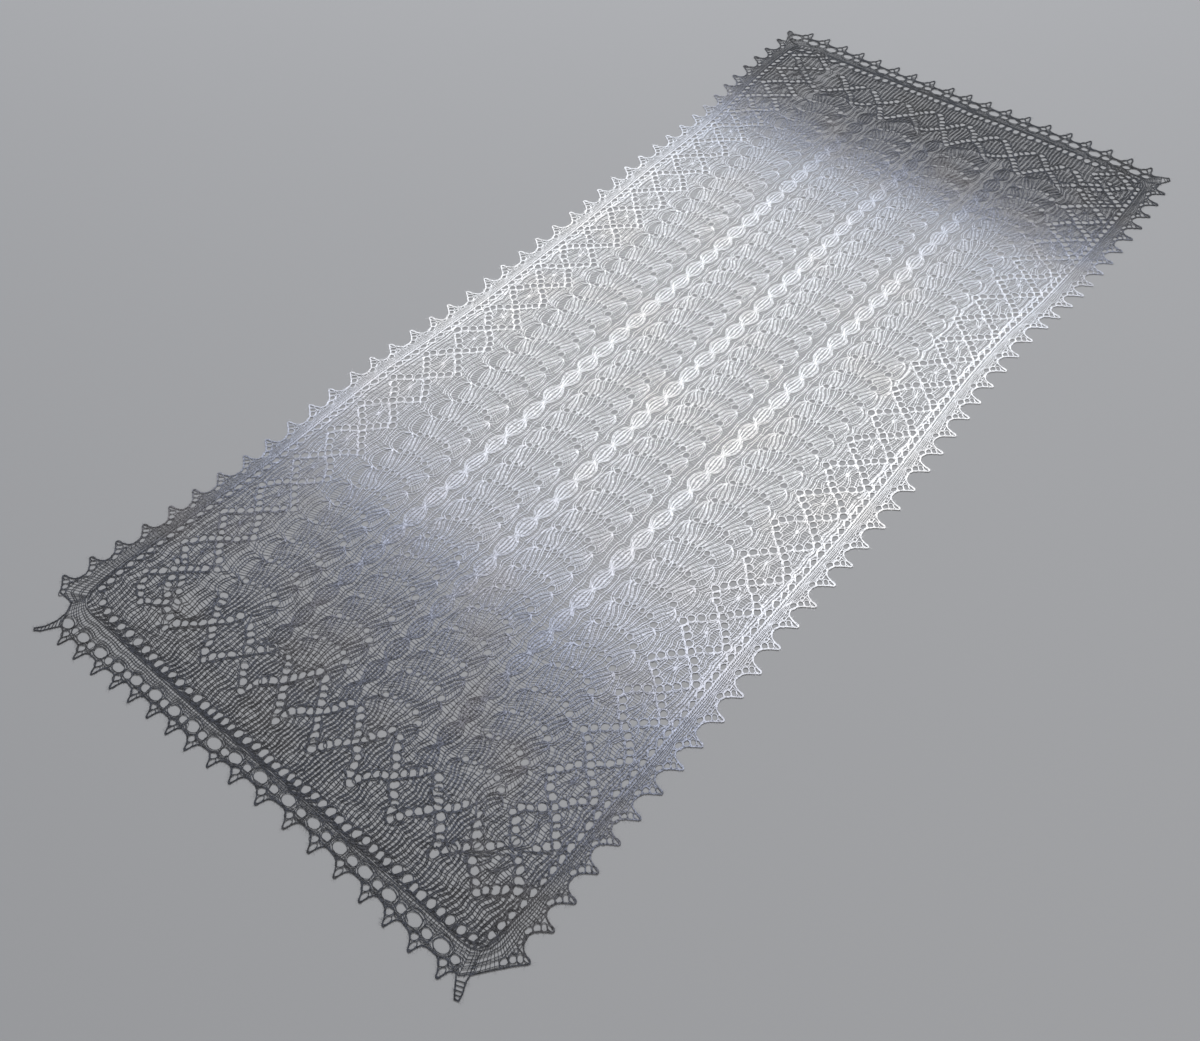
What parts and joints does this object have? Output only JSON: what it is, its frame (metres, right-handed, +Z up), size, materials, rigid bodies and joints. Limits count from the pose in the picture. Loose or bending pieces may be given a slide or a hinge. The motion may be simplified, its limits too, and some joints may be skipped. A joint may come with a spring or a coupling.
{
  "type": "lace shawl",
  "caption": "Rectangular knitted lace shawl laid flat: fan and bead columns between diamond side panels, with a toothed edging sewn on all round.",
  "frame": {"origin": "middle of the underside, on the surface that the shawl lies on", "axes": "+X across the shawl, +Y along its length, +Z up out of the surface"},
  "size_m": [0.8078, 1.6836, 0.0014],
  "materials": {
    "wool_body": "matte",
    "wool_edging_side": "matte",
    "wool_edging_end": "matte"
  },
  "bodies": {
    "root": {"lace_body": "wool_body", "edging_near": "wool_edging_end", "edging_right": "wool_edging_side", "edging_far": "wool_edging_end", "edging_left": "wool_edging_side"}
  },
  "joints": []
}
